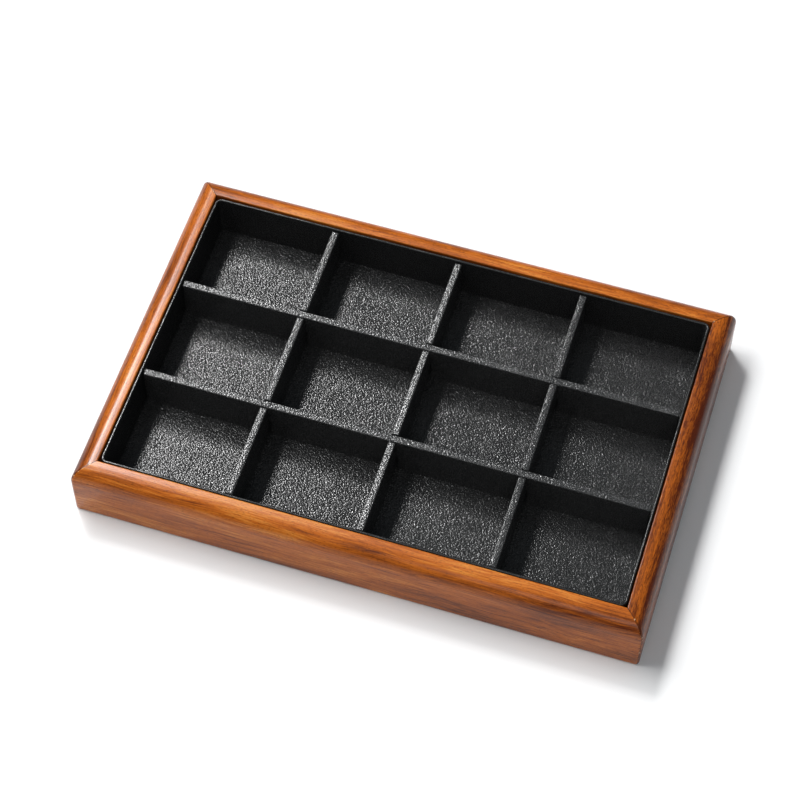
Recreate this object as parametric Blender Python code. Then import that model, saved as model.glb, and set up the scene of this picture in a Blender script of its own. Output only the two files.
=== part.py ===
"""Jewelry display tray: a mitred wooden frame and a drop-in, leather-lined insert with twelve compartments.

The tray stands on Z = 0 with its middle over the origin. X runs along its length, and -Y is the front.
The frame's four rails meet in mitres and carry a base panel in a rebate. The insert stands on that panel:
a card liner covered in black leather, and five leather-wrapped board dividers, half-lapped like an egg crate.
"""
import math

import bmesh
import bpy

# Frame, in metres
OUTER_LENGTH = 0.240
OUTER_WIDTH = 0.160
FRAME_HEIGHT = 0.028
RAIL_WIDTH = 0.0092
TOP_FLAT = 0.0025
CURVE_DROP = 0.0075
INNER_ARRIS = 0.0005
BOTTOM_ARRIS = 0.0010
CORNER_ROUND = 0.0015
MITRE_GLUE = 0.0001

# Base: a panel in the rails' rebate, with felt below it that clears the table
REBATE_WIDTH = 0.0045
PANEL_THICKNESS = 0.0030
PANEL_CLEARANCE = 0.0003
FELT_THICKNESS = 0.0007
FELT_RECESS = 0.0003
FELT_MARGIN = 0.0015

# Insert: the liner, its covering and how it sits in the frame
INSERT_CLEARANCE = 0.0005
RIM_DROP = 0.0007
RIM_RADIUS = 0.0005
LINER_INNER_RADIUS = 0.0016
WALL_CARD = 0.0005
LEATHER = 0.0003
GLUE = 0.00005
TURN_IN = 0.012
BOTTOM_CARD = 0.0015
FLOOR_LEATHER = 0.0006
FLOOR_MARGIN = 0.0001

# Dividers
DIVIDER_BOARD = 0.0024
DIVIDER_DROP = 0.0007
DIVIDER_END_GAP = 0.0005
DIVIDER_EDGE_RADIUS = 0.0005
LAP_CLEARANCE = 0.0004
COLUMNS = 4
ROWS = 3

# How finely the curves are divided
CURVE_STEPS = 10
ARRIS_STEPS = 3
MITRE_STEPS = 3
LINER_STEPS = 6
EDGE_STEPS = 3

# What follows from the driving dimensions
INNER_HALF_LENGTH = OUTER_LENGTH / 2 - RAIL_WIDTH
INNER_HALF_WIDTH = OUTER_WIDTH / 2 - RAIL_WIDTH
PANEL_BOTTOM = FELT_RECESS + FELT_THICKNESS
PANEL_TOP = PANEL_BOTTOM + PANEL_THICKNESS

LINER_HALF_LENGTH = INNER_HALF_LENGTH - INSERT_CLEARANCE
LINER_HALF_WIDTH = INNER_HALF_WIDTH - INSERT_CLEARANCE
WALL_THICKNESS = WALL_CARD + 2 * (LEATHER + GLUE)
RIM_TOP = FRAME_HEIGHT - RIM_DROP
CARD_TOP = PANEL_TOP + BOTTOM_CARD
FLOOR_TOP = CARD_TOP + FLOOR_LEATHER

WELL_HALF_LENGTH = LINER_HALF_LENGTH - WALL_THICKNESS
WELL_HALF_WIDTH = LINER_HALF_WIDTH - WALL_THICKNESS
DIVIDER_THICKNESS = DIVIDER_BOARD + 2 * (LEATHER + GLUE)
DIVIDER_TOP = RIM_TOP - DIVIDER_DROP
LAP_LEVEL = (FLOOR_TOP + DIVIDER_TOP) / 2
COLUMN_PITCH = (2 * WELL_HALF_LENGTH + DIVIDER_THICKNESS) / COLUMNS
ROW_PITCH = (2 * WELL_HALF_WIDTH + DIVIDER_THICKNESS) / ROWS


def clear_scene():
    """Removes whatever objects the file opened with."""
    for old in list(bpy.data.objects):
        bpy.data.objects.remove(old, do_unlink=True)


def make_material(name, colour, roughness):
    """A plain surface in the part's own colour."""
    material = bpy.data.materials.new(name)
    material.use_nodes = True
    shader = material.node_tree.nodes["Principled BSDF"]
    shader.inputs["Base Color"].default_value = (*colour, 1.0)
    shader.inputs["Roughness"].default_value = roughness
    shader.inputs["Metallic"].default_value = 0.0
    return material


def add_object(name, bm, material):
    """Turns a finished bmesh into a named object with its faces pointing out."""
    bmesh.ops.remove_doubles(bm, verts=bm.verts, dist=1e-7)
    bmesh.ops.recalc_face_normals(bm, faces=bm.faces)
    mesh = bpy.data.meshes.new(name)
    bm.to_mesh(mesh)
    bm.free()
    mesh.materials.append(material)
    mesh.shade_smooth()
    mesh.set_sharp_from_angle(angle=math.radians(30))
    made = bpy.data.objects.new(name, mesh)
    bpy.context.scene.collection.objects.link(made)
    return made


def arc(centre, radii, start, end, steps):
    """Points of an elliptical arc about a centre, its angles in degrees, with both ends included."""
    points = []
    for step in range(steps + 1):
        angle = math.radians(start + (end - start) * step / steps)
        points.append((centre[0] + radii[0] * math.cos(angle), centre[1] + radii[1] * math.sin(angle)))
    return points


def rounded_rectangle(half_x, half_y, radius, steps):
    """Outline of a rectangle with round corners, anticlockwise from its right side."""
    points = []
    for corner, (sign_x, sign_y) in enumerate(((1, 1), (-1, 1), (-1, -1), (1, -1))):
        centre = (sign_x * (half_x - radius), sign_y * (half_y - radius))
        points += arc(centre, (radius, radius), 90 * corner, 90 * corner + 90, steps)
    return points


def bridge_rings(rings, close):
    """A bmesh of equal rings of points, each joined to the next; the last joins the first, or both are capped."""
    bm = bmesh.new()
    rows = []
    for ring in rings:
        rows.append([bm.verts.new(point) for point in ring])
    pairs = list(zip(rows, rows[1:]))
    if close:
        pairs.append((rows[-1], rows[0]))
    for near, far in pairs:
        for index in range(len(near)):
            after = (index + 1) % len(near)
            bm.faces.new((near[index], near[after], far[after], far[index]))
    if not close:
        bm.faces.new(rows[0])
        bm.faces.new(rows[-1])
    return bm


def rail_profile():
    """Cross-section of a rail as (outward, up, corner round): a flat by the inner edge, a long curve, a plain side."""
    side = RAIL_WIDTH
    top = FRAME_HEIGHT
    points = [(REBATE_WIDTH, 0.0, 0.0)]
    sole = arc((side - BOTTOM_ARRIS, BOTTOM_ARRIS), (BOTTOM_ARRIS, BOTTOM_ARRIS), -90, 0, ARRIS_STEPS)
    points += [(out, up, CORNER_ROUND) for out, up in sole]
    reach = side - TOP_FLAT
    crown = arc((TOP_FLAT, top - CURVE_DROP), (reach, CURVE_DROP), 0, 90, CURVE_STEPS)
    points += [(out, up, CORNER_ROUND * (out - TOP_FLAT) / reach) for out, up in crown]
    arris = arc((INNER_ARRIS, top - INNER_ARRIS), (INNER_ARRIS, INNER_ARRIS), 90, 180, ARRIS_STEPS)
    points += [(out, up, 0.0) for out, up in arris]
    points += [(0.0, PANEL_TOP, 0.0), (REBATE_WIDTH, PANEL_TOP, 0.0)]
    return points


def rail_section(profile, half_length, half_width, side, step):
    """The profile placed at one station of a corner: step 0 where the round starts, the last on the mitre."""
    angle = math.radians(45) * step / MITRE_STEPS
    trim = MITRE_GLUE / math.sqrt(2)
    ring = []
    for out, up, radius in profile:
        along = half_length - trim + out - radius + radius * math.sin(angle)
        across = half_width + out - radius + radius * math.cos(angle)
        ring.append((side * along, -across, up))
    return ring


def make_rail(name, half_length, half_width, turn, material):
    """One mitred rail of the frame, modelled at the front and turned into its place."""
    profile = rail_profile()
    rings = []
    for step in range(MITRE_STEPS, -1, -1):
        rings.append(rail_section(profile, half_length, half_width, -1, step))
    for step in range(MITRE_STEPS + 1):
        rings.append(rail_section(profile, half_length, half_width, 1, step))
    rail = add_object(name, bridge_rings(rings, close=False), material)
    rail.rotation_euler.z = math.radians(turn)
    return rail


def make_plate(name, half_x, half_y, radius, bottom, top, material):
    """A flat sheet or panel with square or round corners."""
    if radius > 0:
        outline = rounded_rectangle(half_x, half_y, radius, LINER_STEPS)
    else:
        outline = [(half_x, half_y), (-half_x, half_y), (-half_x, -half_y), (half_x, -half_y)]
    rings = [[(x, y, level) for x, y in outline] for level in (bottom, top)]
    return add_object(name, bridge_rings(rings, close=False), material)


def liner_outline(inset):
    """The liner's plan, set in from its outer face, with corners that stay concentric."""
    radius = LINER_INNER_RADIUS + WALL_THICKNESS - inset
    return rounded_rectangle(LINER_HALF_LENGTH - inset, LINER_HALF_WIDTH - inset, radius, LINER_STEPS)


def make_band(name, section, material):
    """A closed cross-section of (inset, up) points carried round the liner's plan."""
    rings = []
    for inset, level in section:
        rings.append([(x, y, level) for x, y in liner_outline(inset)])
    return add_object(name, bridge_rings(rings, close=True), material)


def make_wall_leather(material):
    """Leather that lines the wall, folds over its rim and turns in a short way down the outside."""
    radius = min(RIM_RADIUS, WALL_THICKNESS / 2)
    inner_radius = max(radius - LEATHER, GLUE)
    level = RIM_TOP - LEATHER
    turn_end = RIM_TOP - TURN_IN
    section = [(0.0, turn_end)]
    section += arc((radius, RIM_TOP - radius), (radius, radius), 180, 90, ARRIS_STEPS)
    section += arc((WALL_THICKNESS - radius, RIM_TOP - radius), (radius, radius), 90, 0, ARRIS_STEPS)
    section += [(WALL_THICKNESS, CARD_TOP), (WALL_THICKNESS - LEATHER, CARD_TOP)]
    far = WALL_THICKNESS - LEATHER - inner_radius
    section += arc((far, level - inner_radius), (inner_radius, inner_radius), 0, 90, ARRIS_STEPS)
    section += arc((LEATHER + inner_radius, level - inner_radius), (inner_radius, inner_radius), 90, 180, ARRIS_STEPS)
    section += [(LEATHER, turn_end)]
    return make_band("wall_leather", section, material)


def make_wall_card(material):
    """The bent card wall inside the leather, standing on the base panel."""
    near = LEATHER + GLUE
    far = near + WALL_CARD
    ease = WALL_CARD / 4
    top = RIM_TOP - LEATHER - GLUE
    section = [(near, PANEL_TOP), (near, top - ease), (near + ease, top)]
    section += [(far - ease, top), (far, top - ease), (far, PANEL_TOP)]
    return make_band("wall_card", section, material)


def add_ring(bm, near, far, half, radius, level):
    """A divider's plan at one level: the points of its right end, front to back, and of its left, back to front."""
    right = arc((far - radius, radius - half), (radius, radius), -90, 0, EDGE_STEPS)
    right += arc((far - radius, half - radius), (radius, radius), 0, 90, EDGE_STEPS)
    left = arc((near + radius, half - radius), (radius, radius), 90, 180, EDGE_STEPS)
    left += arc((near + radius, radius - half), (radius, radius), 180, 270, EDGE_STEPS)
    return [[bm.verts.new((x, y, level)) for x, y in end] for end in (right, left)]


def join_rings(bm, lower, upper):
    """Side faces between two rings of the same stretch."""
    low = lower[0] + lower[1]
    high = upper[0] + upper[1]
    for index in range(len(low)):
        after = (index + 1) % len(low)
        bm.faces.new((low[index], low[after], high[after], high[index]))


def join_stretches(bm, whole, stretches):
    """Side faces between the whole length's ring and the stretches that its slots leave, and the slots' ends."""
    right, left = whole
    for plain, cut in ((right, stretches[-1][0]), (left, stretches[0][1])):
        for corners in zip(plain, plain[1:], cut[1:], cut):
            bm.faces.new(corners)
    back = []
    front = []
    for right_end, left_end in stretches:
        back += [left_end[0], right_end[-1]]
        front += [left_end[-1], right_end[0]]
    bm.faces.new([right[-1], left[0]] + back)
    bm.faces.new([right[0], left[-1]] + front)
    for before, after in zip(stretches, stretches[1:]):
        bm.faces.new(before[0] + after[1])


def round_over(bm, ring, near, far, half, radius, top):
    """Carries a ring up to a rounded top edge, over it, and closes it."""
    for step in range(EDGE_STEPS + 1):
        angle = math.radians(90) * step / EDGE_STEPS
        inset = radius * (1 - math.cos(angle))
        level = top - radius * (1 - math.sin(angle))
        above = add_ring(bm, near + inset, far - inset, half - inset, radius - inset, level)
        join_rings(bm, ring, above)
        ring = above
    bm.faces.new(ring[0] + ring[1])


def divider_solid(inset, thickness, half_length, slots, open_top, bottom):
    """A divider's solid, set in by a thickness of covering all round but not at its foot, with its half-lap slots."""
    half = thickness / 2
    end = half_length - inset
    top = DIVIDER_TOP - inset
    radius = max(min(DIVIDER_EDGE_RADIUS, DIVIDER_THICKNESS / 2 - GLUE) - inset, GLUE)
    slot_half = DIVIDER_THICKNESS / 2 + LAP_CLEARANCE + inset
    edges = [-end] + [slot + side * slot_half for slot in slots for side in (-1, 1)] + [end]
    spans = list(zip(edges[0::2], edges[1::2]))
    bm = bmesh.new()
    if open_top:
        level = LAP_LEVEL - LAP_CLEARANCE / 2 - inset
        whole = add_ring(bm, -end, end, half, radius, bottom)
        bm.faces.new(whole[0] + whole[1])
        stretches = [add_ring(bm, near, far, half, radius, level) for near, far in spans]
        join_stretches(bm, whole, stretches)
        for ring, (near, far) in zip(stretches, spans):
            round_over(bm, ring, near, far, half, radius, top)
    else:
        level = LAP_LEVEL + LAP_CLEARANCE / 2 + inset
        stretches = []
        for near, far in spans:
            foot = add_ring(bm, near, far, half, radius, bottom)
            bm.faces.new(foot[0] + foot[1])
            stretches.append(add_ring(bm, near, far, half, radius, level))
            join_rings(bm, foot, stretches[-1])
        whole = add_ring(bm, -end, end, half, radius, (level + top) / 2)
        join_stretches(bm, whole, stretches)
        round_over(bm, whole, -end, end, half, radius, top)
    return bm


def make_divider(name, half_length, slots, open_top, place, turn, board_material, leather_material):
    """A board and the leather wrapped over it, which is open only along the foot that stands on the floor."""
    wrap_bm = divider_solid(0.0, DIVIDER_THICKNESS, half_length, slots, open_top, FLOOR_TOP)
    wrap = add_object(name + "_wrap", wrap_bm, leather_material)
    room_bm = divider_solid(LEATHER, DIVIDER_BOARD + 2 * GLUE, half_length, slots, open_top, PANEL_TOP)
    room = add_object(name + "_room", room_bm, board_material)
    board_bm = divider_solid(LEATHER + GLUE, DIVIDER_BOARD, half_length, slots, open_top, FLOOR_TOP)
    board = add_object(name + "_board", board_bm, board_material)
    for piece in (wrap, room, board):
        piece.location.x, piece.location.y = place
        piece.rotation_euler.z = math.radians(turn)
    room.display_type = "WIRE"
    room.hide_render = True
    cut = wrap.modifiers.new("room_for_board", "BOOLEAN")
    cut.operation = "DIFFERENCE"
    cut.solver = "EXACT"
    cut.object = room
    return wrap, board


def make_frame(wood, panel_board, felt):
    """The four rails with the base panel and its felt."""
    for name, turn in (("rail_front", 0), ("rail_back", 180)):
        make_rail(name, INNER_HALF_LENGTH, INNER_HALF_WIDTH, turn, wood)
    for name, turn in (("rail_right", 90), ("rail_left", -90)):
        make_rail(name, INNER_HALF_WIDTH, INNER_HALF_LENGTH, turn, wood)
    half_x = INNER_HALF_LENGTH + REBATE_WIDTH - PANEL_CLEARANCE
    half_y = INNER_HALF_WIDTH + REBATE_WIDTH - PANEL_CLEARANCE
    make_plate("base_panel", half_x, half_y, 0.0, PANEL_BOTTOM, PANEL_TOP, panel_board)
    make_plate("base_felt", half_x - FELT_MARGIN, half_y - FELT_MARGIN, 0.0, FELT_RECESS, PANEL_BOTTOM, felt)


def make_liner(card, leather):
    """The insert's wall and floor: bent card and a bottom card, both covered in leather."""
    make_wall_card(card)
    make_wall_leather(leather)
    inset = WALL_THICKNESS - LEATHER
    radius = LINER_INNER_RADIUS + LEATHER
    make_plate("bottom_card", LINER_HALF_LENGTH - inset, LINER_HALF_WIDTH - inset, radius,
               PANEL_TOP, CARD_TOP, card)
    half_x = WELL_HALF_LENGTH - FLOOR_MARGIN
    half_y = WELL_HALF_WIDTH - FLOOR_MARGIN
    make_plate("floor_leather", half_x, half_y, LINER_INNER_RADIUS - FLOOR_MARGIN, CARD_TOP, FLOOR_TOP, leather)


def make_dividers(board, leather):
    """The long dividers, slotted from below, and the cross dividers, slotted from above, that lock into them."""
    columns = [(index - (COLUMNS - 2) / 2) * COLUMN_PITCH for index in range(COLUMNS - 1)]
    rows = [(index - (ROWS - 2) / 2) * ROW_PITCH for index in range(ROWS - 1)]
    half_long = WELL_HALF_LENGTH - DIVIDER_END_GAP
    half_cross = WELL_HALF_WIDTH - DIVIDER_END_GAP
    for number, y in enumerate(rows, start=1):
        make_divider(f"long_divider_{number}", half_long, columns, False, (0.0, y), 0, board, leather)
    for number, x in enumerate(columns, start=1):
        make_divider(f"cross_divider_{number}", half_cross, rows, True, (x, 0.0), 90, board, leather)


def main():
    """Models the whole tray."""
    clear_scene()
    wood = make_material("stained_wood", (0.42, 0.13, 0.030), 0.38)
    panel_board = make_material("fibreboard", (0.24, 0.15, 0.08), 0.75)
    felt = make_material("black_felt", (0.012, 0.012, 0.012), 0.95)
    card = make_material("black_card", (0.020, 0.020, 0.020), 0.85)
    board = make_material("grey_board", (0.22, 0.21, 0.19), 0.85)
    leather = make_material("black_leather", (0.010, 0.010, 0.010), 0.45)
    make_frame(wood, panel_board, felt)
    make_liner(card, leather)
    make_dividers(board, leather)


main()
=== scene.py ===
"""Jewelry display tray: finer shapes, finishes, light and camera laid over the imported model.

Geometry Nodes carry the rails' moulding and the liner's folded leather along their paths, and set out the
panel pins. The divider wraps and the floor leather are built in mesh code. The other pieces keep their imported
shapes.
"""

import math

import bmesh
import bpy
from mathutils import Matrix, Vector, noise


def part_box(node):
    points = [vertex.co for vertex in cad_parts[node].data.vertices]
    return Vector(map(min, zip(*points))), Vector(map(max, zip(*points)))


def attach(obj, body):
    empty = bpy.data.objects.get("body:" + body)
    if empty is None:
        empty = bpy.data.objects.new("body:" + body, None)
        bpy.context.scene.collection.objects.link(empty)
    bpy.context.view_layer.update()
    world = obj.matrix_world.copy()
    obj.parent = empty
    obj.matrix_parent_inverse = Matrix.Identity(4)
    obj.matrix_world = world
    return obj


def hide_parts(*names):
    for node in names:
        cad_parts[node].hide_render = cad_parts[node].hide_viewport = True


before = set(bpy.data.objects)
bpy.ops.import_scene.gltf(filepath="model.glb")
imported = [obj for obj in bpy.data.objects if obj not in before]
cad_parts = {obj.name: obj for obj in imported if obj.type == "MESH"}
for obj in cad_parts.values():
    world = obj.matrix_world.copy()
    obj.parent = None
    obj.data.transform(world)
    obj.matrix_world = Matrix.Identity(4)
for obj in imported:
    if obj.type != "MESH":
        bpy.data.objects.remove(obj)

bl_info = {
    "name": "Jewelry Display Tray",
    "version": (1, 0, 0),
    "blender": (4, 5, 0),
    "location": "View3D > Sidebar > Display Tray",
    "description": "Builds a mitred wooden display tray with a leather-lined insert of twelve compartments",
    "category": "Object",
}

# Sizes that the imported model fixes, in metres
RAIL_LOW, RAIL_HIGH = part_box("rail_right")
FRAME_LENGTH = 2 * RAIL_HIGH.x
FRAME_WIDTH = 2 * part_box("rail_back")[1].y
FRAME_HEIGHT = RAIL_HIGH.z
RAIL_WIDTH = RAIL_HIGH.x - RAIL_LOW.x
PANEL_LOW, PANEL_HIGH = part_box("base_panel")
WALL_LOW, WALL_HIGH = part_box("wall_leather")
FLOOR_LOW, FLOOR_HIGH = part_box("floor_leather")
LONG_WRAPS = [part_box(f"long_divider_{number}_wrap") for number in (1, 2)]
CROSS_WRAPS = [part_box(f"cross_divider_{number}_wrap") for number in (1, 2, 3)]
ROWS = [(low.y + high.y) / 2 for low, high in LONG_WRAPS]
COLUMNS = [(low.x + high.x) / 2 for low, high in CROSS_WRAPS]
DIVIDER_TOP = LONG_WRAPS[0][1].z
DIVIDER_THICKNESS = LONG_WRAPS[0][1].y - LONG_WRAPS[0][0].y
LAP_LEVEL = (FLOOR_HIGH.z + DIVIDER_TOP) / 2


def linear(hex_colour):
    """An sRGB hex colour as linear red, green, blue and alpha."""
    channels = []
    for shift in (16, 8, 0):
        value = (hex_colour >> shift & 255) / 255
        channels.append(value / 12.92 if value <= 0.04045 else ((value + 0.055) / 1.055) ** 2.4)
    return (*channels, 1.0)


def size(name, description, default):
    """A length in metres, shown to a hundredth of a millimetre."""
    return bpy.props.FloatProperty(name=name, description=description, default=default, min=0.0, precision=5,
        subtype="DISTANCE", unit="LENGTH")


def power(name, description, watts):
    """The power of a light in watts."""
    return bpy.props.FloatProperty(name=name, description=description, default=watts, min=0.0,
        subtype="POWER", unit="POWER")


def group(name, description, kind):
    """A group of settings."""
    return bpy.props.PointerProperty(type=kind, name=name, description=description)


def colour(name, description, hex_colour):
    """A colour with an sRGB default."""
    return bpy.props.FloatVectorProperty(name=name, description=description, size=4, min=0.0, max=1.0,
        subtype="COLOR", default=linear(hex_colour))


class RailSizes(bpy.types.PropertyGroup):
    """Moulding of the frame's rails and the pins of its base panel."""
    top_flat: size("Top Flat", "Width of the flat beside the inner edge", 0.0025)
    curve_drop: size("Curve Drop", "Height over which the top curves down to the side", 0.0075)
    inner_arris: size("Inner Arris", "Radius sanded on the inner edge", 0.0005)
    bottom_arris: size("Bottom Arris", "Radius sanded on the foot", 0.0010)
    corner_round: size("Corner Round", "Radius of the frame's upright corners", 0.0015)
    rebate: size("Rebate", "Width of the rebate that holds the base panel", 0.0045)
    glue_line: size("Glue Line", "Width of the glued joint in a mitre", 0.0001)
    pin_head: size("Pin Head", "Radius of a panel pin's head", 0.0006)
    pin_pitch: size("Pin Pitch", "Distance between panel pins", 0.048)


class LinerSizes(bpy.types.PropertyGroup):
    """Leather liner, its rim and its floor."""
    wall: size("Wall", "Thickness of the covered wall", 0.0012)
    leather: size("Leather", "Thickness of the leather", 0.0003)
    rim_radius: size("Rim Radius", "Radius of the leather folded over the rim", 0.0005)
    corner: size("Corner Radius", "Outer radius of the liner's upright corners", 0.0028)
    turn_in: size("Turn-in", "How far the leather folds down the outside", 0.012)
    unevenness: size("Unevenness", "How far hand-laid leather strays from true", 0.00012)
    floor_sag: size("Floor Sag", "How far the floor leather dips between its glued spots", 0.00018)
    floor_pitch: size("Floor Pitch", "Distance between the floor's cross-sections", 0.0024)


class DividerSizes(bpy.types.PropertyGroup):
    """Leather wraps of the dividers."""
    leather: size("Leather", "Thickness of the wrap", 0.0003)
    glue: size("Glue", "Thickness of the glue under the wrap", 0.00005)
    edge_radius: size("Edge Radius", "Radius of the wrapped edges", 0.0005)
    lap_clearance: size("Lap Clearance", "Play in the half-laps", 0.0004)
    pitch: size("Pitch", "Distance between a wrap's cross-sections", 0.0020)
    unevenness: size("Unevenness", "How far a hand-wrapped face strays from flat", 0.00009)


class FinishColours(bpy.types.PropertyGroup):
    """Colours of the finishes."""
    wood_light: colour("Wood, Light", "Where the wood took the least stain", 0xC57A30)
    wood_mid: colour("Wood, Middle", "Most of the stained wood", 0xAD5A16)
    wood_dark: colour("Wood, Dark", "Where the wood took the most stain", 0x4E1C05)
    wood_pore: colour("Wood, Pores", "Stain caught in the pores", 0x2E1206)
    filler: colour("Filler", "Wood filler in the mitres", 0xD8B48A)
    leather: colour("Leather", "Dyed surface of the leather", 0x101010)
    # Darker than the leather: painted shade in the embossing's grooves
    leather_groove_shade: colour("Leather, Grooves", "Grooves of the embossing", 0x020202)
    card: colour("Card", "Black card of the liner", 0x1C1C1D)
    grey_board: colour("Grey Board", "Recycled board of the dividers", 0x7C776E)
    fibreboard: colour("Fibreboard", "Base panel", 0x8A6A46)
    felt: colour("Felt", "Felt under the base", 0x17181A)
    steel: colour("Steel", "Panel pins", 0xB9B7B2)
    table: colour("Table", "Table that the tray stands on", 0xE8E8E8)


class StageSettings(bpy.types.PropertyGroup):
    """Studio light."""
    key_power: power("Key Power", "Power of the softbox on the left", 118.0)
    back_power: power("Back Power", "Power of the softbox behind", 86.0)
    front_power: power("Front Power", "Power of the wide softbox in front", 42.0)
    room_light: bpy.props.FloatProperty(name="Room Light", default=0.22, min=0.0,
        description="Strength of the light from the ceiling")


class TraySettings(bpy.types.PropertyGroup):
    """Everything that a user of the tray would change."""
    rails: group("Rails", "Moulding of the rails", RailSizes)
    liner: group("Liner", "Sizes of the liner", LinerSizes)
    dividers: group("Dividers", "Sizes of the dividers", DividerSizes)
    colours: group("Colours", "Colours of the finishes", FinishColours)
    stage: group("Stage", "Studio light", StageSettings)


# Shared tools

def add_node(tree, kind, inputs=None, **settings):
    """Adds a node with its settings, and sets or links its inputs. A node there gives its first output."""
    node = tree.nodes.new(kind)
    for name, value in settings.items():
        setattr(node, name, value)
    for socket, value in (inputs or {}).items():
        if isinstance(value, bpy.types.Node):
            value = value.outputs[0]
        if isinstance(value, bpy.types.NodeSocket):
            tree.links.new(value, node.inputs[socket])
        else:
            node.inputs[socket].default_value = value
    return node


def arc(centre, radius, start, end, steps, height=None):
    """Points of an arc with both ends, its angles in degrees. A height of its own makes it elliptical."""
    points = []
    for step in range(steps + 1):
        angle = math.radians(start + (end - start) * step / steps)
        up = (height or radius) * math.sin(angle)
        points.append((centre[0] + radius * math.cos(angle), centre[1] + up))
    return points


def add_object(name, content):
    """Links new content to the scene as an object."""
    made = bpy.data.objects.new(name, content)
    bpy.context.scene.collection.objects.link(made)
    return made


def place_mesh(name, mesh):
    """Links a finished mesh as an object at the origin, with its edges over 32 degrees marked as hard."""
    mesh.name = name
    mesh.shade_smooth()
    mesh.set_sharp_from_angle(angle=math.radians(32))
    return add_object(name, mesh)


def evaluated_mesh(piece):
    """The mesh that an object's modifiers give."""
    bpy.context.view_layer.update()
    return bpy.data.meshes.new_from_object(piece.evaluated_get(bpy.context.evaluated_depsgraph_get()))


def place_bmesh(name, bm, material):
    """Merges what touches in a bmesh, turns its faces outwards and links it as a finished piece."""
    bmesh.ops.remove_doubles(bm, verts=bm.verts, dist=1e-7)
    bmesh.ops.recalc_face_normals(bm, faces=bm.faces)
    mesh = bpy.data.meshes.new(name)
    bm.to_mesh(mesh)
    bm.free()
    mesh.materials.append(material)
    return place_mesh(name, mesh)


def slice_across(bm, axis, low, high, pitch):
    """Cuts a mesh across an axis at even steps, so that it can bend between them."""
    steps = round((high - low) / pitch)
    normal = Vector((0.0, 0.0, 0.0))
    normal[axis] = 1.0
    for step in range(1, steps):
        geometry = [*bm.verts, *bm.edges, *bm.faces]
        place = normal * (low + (high - low) * step / steps)
        bmesh.ops.bisect_plane(bm, geom=geometry, plane_co=place, plane_no=normal, dist=1e-6)


def draw_section(name, points):
    """A closed polyline of (across, up) that a node tree carries along a path.

    Curve to Mesh lays a section's Y axis downwards, so it is drawn turned by half a turn, and clockwise so
    that the faces point outwards.
    """
    curve = bpy.data.curves.new(name, "CURVE")
    curve.dimensions = "3D"
    spline = curve.splines.new("POLY")
    spline.points.add(len(points) - 1)
    for point, (across, up) in zip(spline.points, reversed(points)):
        point.co = (-across, -up, 0.0, 1.0)
    spline.use_cyclic_u = True
    return add_object(name, curve)


def start_tree(name, inputs):
    """A Geometry Nodes tree with named inputs, and the sockets that hand them out."""
    tree = bpy.data.node_groups.new(name, "GeometryNodeTree")
    tree.interface.new_socket("Geometry", in_out="OUTPUT", socket_type="NodeSocketGeometry")
    for label, kind in inputs.items():
        tree.interface.new_socket(label, in_out="INPUT", socket_type="NodeSocket" + kind)
    return tree, add_node(tree, "NodeGroupInput").outputs


def end_tree(tree, geometry, material):
    """Ends a tree in Realize Instances and Set Material."""
    realized = add_node(tree, "GeometryNodeRealizeInstances", {"Geometry": geometry})
    finished = add_node(tree, "GeometryNodeSetMaterial", {"Geometry": realized, "Material": material})
    add_node(tree, "NodeGroupOutput", {0: finished})
    return tree


def grow(name, tree, values):
    """Runs a node tree with the given inputs and keeps its result as a plain mesh."""
    seed = add_object(name + "_seed", bpy.data.meshes.new(name + "_seed"))
    modifier = seed.modifiers.new("grow", "NODES")
    modifier.node_group = tree
    for item in tree.interface.items_tree:
        if item.in_out == "INPUT":
            modifier[item.identifier] = values[item.name]
    mesh = evaluated_mesh(seed)
    bpy.data.objects.remove(seed)
    if not mesh.polygons:
        raise RuntimeError(f"{name} grew no faces")
    return place_mesh(name, mesh)


def fit(piece, body, node):
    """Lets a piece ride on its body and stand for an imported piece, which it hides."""
    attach(piece, body)
    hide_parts(node)


# Materials

def start_material(name):
    """An empty node material, its tree and its object coordinates."""
    material = bpy.data.materials.new(name)
    material.use_nodes = True
    tree = material.node_tree
    tree.nodes.clear()
    return material, tree, add_node(tree, "ShaderNodeTexCoord").outputs["Object"]


def end_material(material, inputs):
    """Ends a material in a shader with the given inputs."""
    shader = add_node(material.node_tree, "ShaderNodeBsdfPrincipled", inputs)
    add_node(material.node_tree, "ShaderNodeOutputMaterial", {"Surface": shader})
    return material


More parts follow.
